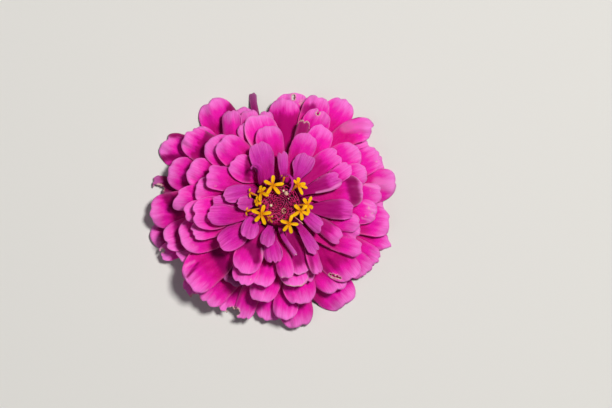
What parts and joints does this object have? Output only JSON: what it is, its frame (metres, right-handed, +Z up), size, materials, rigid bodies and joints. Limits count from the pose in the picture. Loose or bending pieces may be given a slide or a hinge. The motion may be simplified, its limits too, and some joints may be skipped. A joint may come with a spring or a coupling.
{
  "type": "zinnia flower",
  "caption": "Double zinnia flower head picked with a short cut stem: overlapping whorls of ray florets, a ring of star-shaped disc florets and a cup of bracts.",
  "frame": {"origin": "on the surface that the flower rests on, under the middle of the head's outline", "axes": "+Z up, along the short stem towards the face of the flower; the face leans a little towards +X and +Y"},
  "size_m": [0.0659, 0.0629, 0.0258],
  "materials": {
    "ray_floret": "matt velvety petal, hot pink, paler at the tip and deep magenta at the base",
    "inner_ray_floret": "matt velvety petal, lilac pink",
    "disc_floret": "matt yellow-orange",
    "chaff": "matt crimson scales",
    "bract": "leathery green bract with a dark fringed edge",
    "receptacle": "pale green, hidden",
    "stem": "ribbed green stem with short hairs, pale where it is cut"
  },
  "bodies": {
    "root": {"disc_chaff": "chaff", "disc_floret_1": "disc_floret", "disc_floret_2": "disc_floret", "disc_floret_3": "disc_floret", "disc_floret_4": "disc_floret", "disc_floret_5": "disc_floret", "disc_floret_6": "disc_floret", "disc_floret_7": "disc_floret", "disc_floret_8": "disc_floret", "involucre_inner": "bract", "involucre_middle": "bract", "involucre_outer": "bract", "outer_ray_floret_01": "ray_floret", "outer_ray_floret_02": "ray_floret", "outer_ray_floret_03": "ray_floret", "outer_ray_floret_04": "ray_floret", "outer_ray_floret_05": "ray_floret", "outer_ray_floret_06": "ray_floret", "outer_ray_floret_07": "ray_floret", "outer_ray_floret_08": "ray_floret", "outer_ray_floret_09": "ray_floret", "outer_ray_floret_10": "ray_floret", "outer_ray_floret_11": "ray_floret", "outer_ray_floret_12": "ray_floret", "outer_ray_floret_13": "ray_floret", "outer_ray_floret_14": "ray_floret", "outer_ray_floret_15": "ray_floret", "outer_ray_floret_16": "ray_floret", "outer_ray_floret_17": "ray_floret", "outer_ray_floret_18": "ray_floret", "outer_ray_floret_19": "ray_floret", "outer_ray_floret_20": "ray_floret", "outer_ray_floret_21": "ray_floret", "outer_ray_floret_22": "ray_floret", "outer_ray_floret_23": "ray_floret", "outer_ray_floret_24": "ray_floret", "outer_ray_floret_25": "ray_floret", "outer_ray_floret_26": "ray_floret", "ray_whorl_3": "ray_floret", "ray_whorl_4": "ray_floret", "ray_whorl_5": "ray_floret", "ray_whorl_6": "inner_ray_floret", "ray_whorl_7": "inner_ray_floret", "receptacle": "receptacle", "second_ray_floret_01": "ray_floret", "second_ray_floret_02": "ray_floret", "second_ray_floret_03": "ray_floret", "second_ray_floret_04": "ray_floret", "second_ray_floret_05": "ray_floret", "second_ray_floret_06": "ray_floret", "second_ray_floret_07": "ray_floret", "second_ray_floret_08": "ray_floret", "second_ray_floret_09": "ray_floret", "second_ray_floret_10": "ray_floret", "second_ray_floret_11": "ray_floret", "second_ray_floret_12": "ray_floret", "second_ray_floret_13": "ray_floret", "second_ray_floret_14": "ray_floret", "second_ray_floret_15": "ray_floret", "stem": "stem"}
  },
  "joints": []
}
